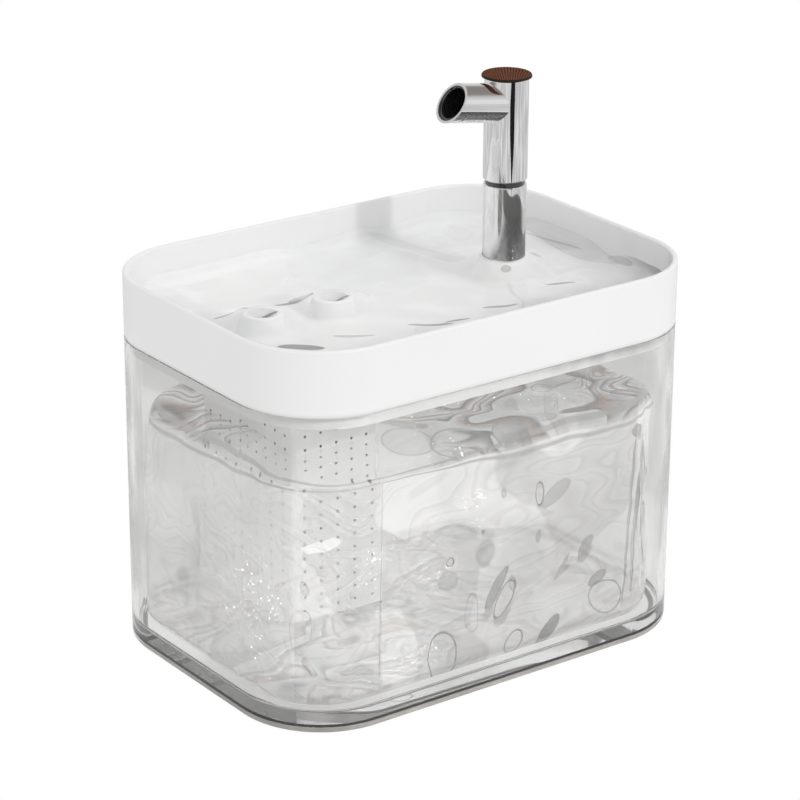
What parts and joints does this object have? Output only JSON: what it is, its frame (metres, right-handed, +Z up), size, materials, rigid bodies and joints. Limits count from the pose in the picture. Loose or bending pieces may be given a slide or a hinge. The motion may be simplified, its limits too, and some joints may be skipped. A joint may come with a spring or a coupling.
{
  "type": "pet water fountain",
  "caption": "Pet water fountain: clear rounded tank, lift-off white drinking tray, swivel chrome faucet, hanging filter box and submerged pump.",
  "frame": {"origin": "middle of the underside, on the surface that the base ring stands on", "axes": "+X along the tank's long side, away from the spout's mouth; +Y across it, to the side with the cable notch; +Z up"},
  "size_m": [0.226, 0.162, 0.2513],
  "materials": {
    "clear_glass": "clear, polished",
    "white_plastic": "satin white",
    "grey_rubber": "dark grey, matt",
    "white_silicone": "milky silicone",
    "chrome": "polished chrome plate",
    "brown_cap": "brown, turned face",
    "black_plastic": "matt black",
    "pump_plastic": "matt white",
    "filter_plastic": "matt white",
    "cotton": "white filter cotton",
    "carbon": "carbon granules in a pouch",
    "foam": "grey open foam",
    "steel": "bright steel",
    "ferrite": "dark ferrite magnet",
    "copper_wire": "enamelled copper winding",
    "black_rubber": "matt black rubber"
  },
  "bodies": {
    "tank_body": {"tank": "clear_glass", "base_ring": "grey_rubber", "cable_grommet": "white_silicone", "pump_housing": "pump_plastic", "suction_cups": "white_silicone", "pump_cover": "pump_plastic", "rotor_shaft": "steel", "front_bush": "black_rubber", "rear_bush": "black_rubber", "stator_core": "steel", "stator_coil": "copper_wire", "pump_back_cover": "pump_plastic", "cable_gland": "pump_plastic"},
    "tray_body": {"tray": "white_plastic", "faucet_stem": "chrome", "head_o_rings": "black_rubber", "swivel_washer": "black_plastic", "stem_gasket": "white_silicone", "nut_washer": "white_silicone", "faucet_nut": "white_plastic", "hose_elbow": "white_plastic", "riser_hose": "white_silicone"},
    "faucet_body": {"faucet_head": "chrome", "spout_liner": "black_plastic", "aerator": "black_plastic"},
    "cap_body": {"faucet_cap": "brown_cap", "cap_o_ring": "black_rubber"},
    "filter_body": {"filter_box": "filter_plastic", "carbon_bed": "carbon", "filter_pad": "cotton"},
    "frame_body": {"filter_frame": "filter_plastic"},
    "rotor_body": {"impeller": "pump_plastic", "rotor_magnet": "ferrite"},
    "slider_body": {"flow_slider": "pump_plastic"},
    "strainer_body": {"intake_grille": "pump_plastic", "pump_sponge": "foam"}
  },
  "joints": [
    {"name": "tray_lift", "type": "slide", "parent": "tank_body", "child": "tray_body", "axis": [0, 0, 1], "range_m": [0, 0.12]},
    {"name": "faucet_swivel", "type": "hinge", "parent": "tray_body", "child": "faucet_body", "pos_m": [0.0569, 0, 0.208], "axis": [0, 0, 1], "continuous": true},
    {"name": "cap_lift", "type": "slide", "parent": "faucet_body", "child": "cap_body", "axis": [0, 0, 1], "range_m": [0, 0.012]},
    {"name": "filter_box_drop", "type": "slide", "parent": "tray_body", "child": "filter_body", "axis": [0, 0, -1], "range_m": [0, 0.024]},
    {"name": "filter_frame_lift", "type": "slide", "parent": "filter_body", "child": "frame_body", "axis": [0, 0, 1], "range_m": [0, 0.02]},
    {"name": "impeller_spin", "type": "hinge", "parent": "tank_body", "child": "rotor_body", "pos_m": [-0.025, 0.0555, 0.035], "axis": [1, 0, 0], "continuous": true},
    {"name": "flow_slide", "type": "slide", "parent": "tank_body", "child": "slider_body", "axis": [0, -1, 0], "range_m": [0, 0.005]},
    {"name": "strainer_pull", "type": "slide", "parent": "tank_body", "child": "strainer_body", "axis": [-1, 0, 0], "range_m": [0, 0.02]}
  ]
}
